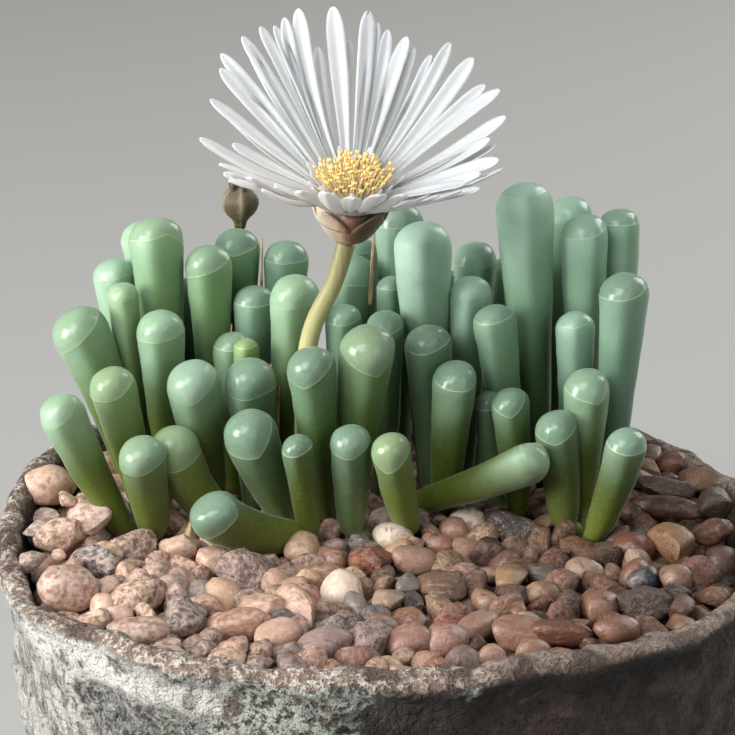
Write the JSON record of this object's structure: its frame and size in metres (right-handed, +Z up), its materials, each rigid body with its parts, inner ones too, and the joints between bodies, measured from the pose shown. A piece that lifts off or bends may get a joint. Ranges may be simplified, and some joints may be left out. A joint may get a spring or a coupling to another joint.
{
  "type": "potted baby toes plant",
  "caption": "Clump of club-shaped succulent leaves with windowed tips, one white many-petalled flower and a seed capsule, rooted in a gravel-topped, hand-made glazed bowl",
  "frame": {"origin": "on the pot's axis, on the plane of its flat foot, which is the plane that it stands on", "axes": "+Z up, the pot's axis; -Y towards the viewer in the picture, so the plant stands in the +Y half of the bowl and the bare gravel in the -Y half; +X to the viewer's right"},
  "size_m": [0.1188, 0.1188, 0.1321],
  "materials": {
    "pot": "satin",
    "soil": "matte",
    "gravel": "satin",
    "leaf": "satin",
    "stalk": "satin",
    "calyx": "satin",
    "petal": "matte",
    "stamen": "matte",
    "capsule": "matte"
  },
  "bodies": {
    "root": {"pot": "pot", "soil": "soil", "gravel": "gravel", "toes_front_left": "leaf", "toes_left": "leaf", "toes_back_left": "leaf", "toes_left_middle": "leaf", "toes_front_middle_left": "leaf", "toes_middle_left": "leaf", "toes_far_left": "leaf", "toes_by_stem": "leaf", "toes_before_stem": "leaf", "toes_front_middle": "leaf", "toes_middle_right": "leaf", "toes_right_of_middle": "leaf", "toes_middle": "leaf", "toes_tall_middle": "leaf", "toes_far_middle": "leaf", "toes_tall_right": "leaf", "toes_right": "leaf", "toes_front_right": "leaf", "flower_stalk": "stalk", "calyx": "calyx", "petals": "petal", "stamens": "stamen", "capsule_stalk": "stalk", "seed_capsule": "capsule"}
  },
  "joints": []
}
